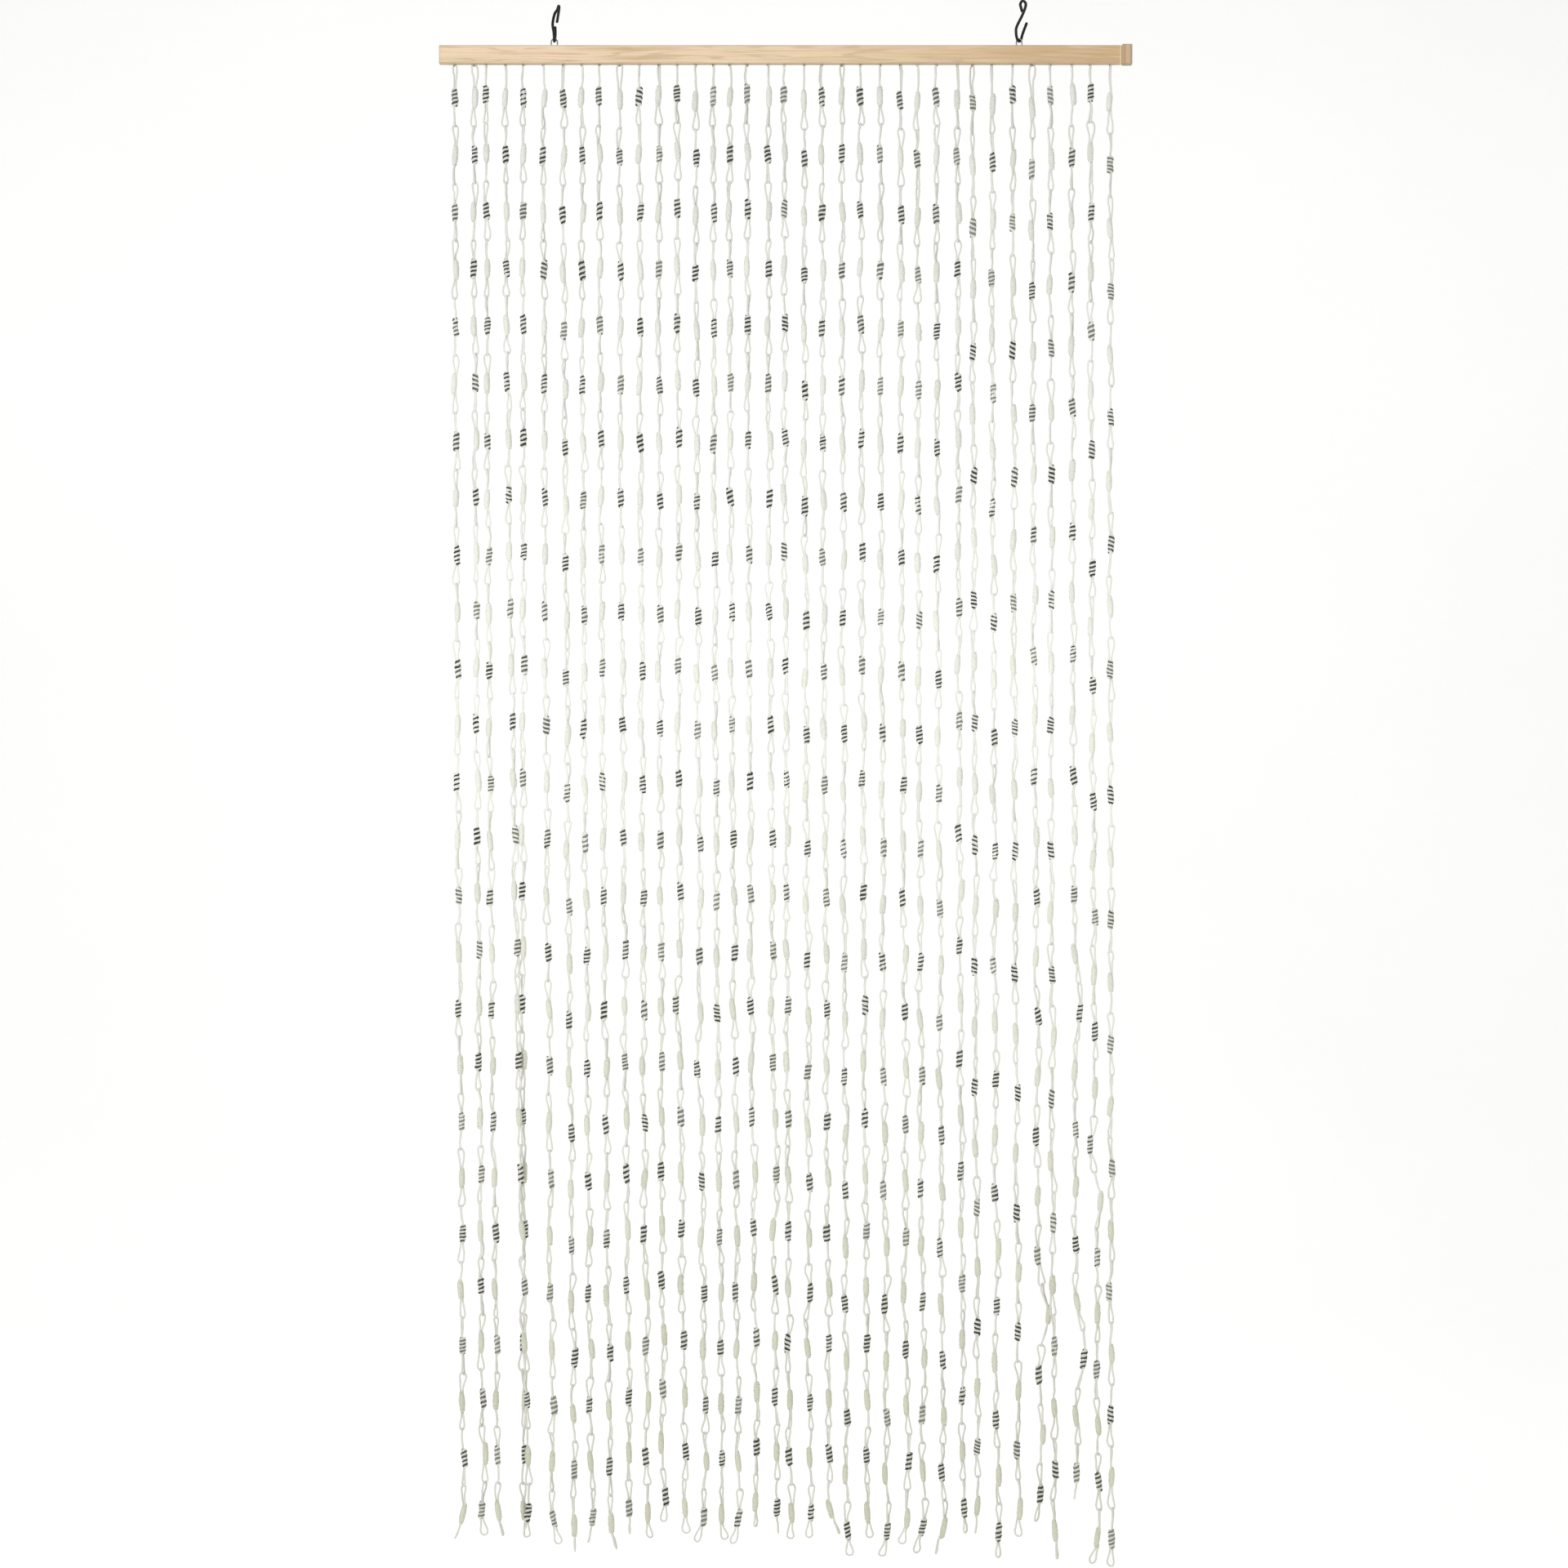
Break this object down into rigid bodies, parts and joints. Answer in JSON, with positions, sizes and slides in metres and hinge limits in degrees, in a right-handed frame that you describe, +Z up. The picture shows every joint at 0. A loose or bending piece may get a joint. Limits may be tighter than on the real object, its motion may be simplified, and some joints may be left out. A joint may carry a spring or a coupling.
{
  "type": "string door curtain with bar and hooks",
  "caption": "Light string door curtain: off-white knotted cord strands, partly striped dark, hanging from a pale wooden bar with wire eyes and black wire hooks",
  "frame": {"origin": "over the middle of the bar's length and thickness, at the mean height of the two hooks' upper bends, by which the curtain is hung", "axes": "+X along the bar to the right seen from the front, -Y to the front, +Z up"},
  "size_m": [0.9, 0.0272, 2.0379],
  "materials": {
    "bar_wood": "planed pale wood with fine long grain, unvarnished",
    "end_wood": "darker end grain, sanded",
    "eye_wire": "zinc plated wire",
    "hook_wire": "black lacquered wire, half gloss",
    "cord": "matt twisted off-white cord, every other knot wound with near-black cord"
  },
  "bodies": {
    "root": {"bar": "bar_wood", "end_block": "end_wood", "eye_left": "eye_wire", "eye_right": "eye_wire", "hook_left": "hook_wire", "hook_right": "hook_wire", "strands_left": "cord", "strands_middle": "cord", "strands_right": "cord"}
  },
  "joints": []
}
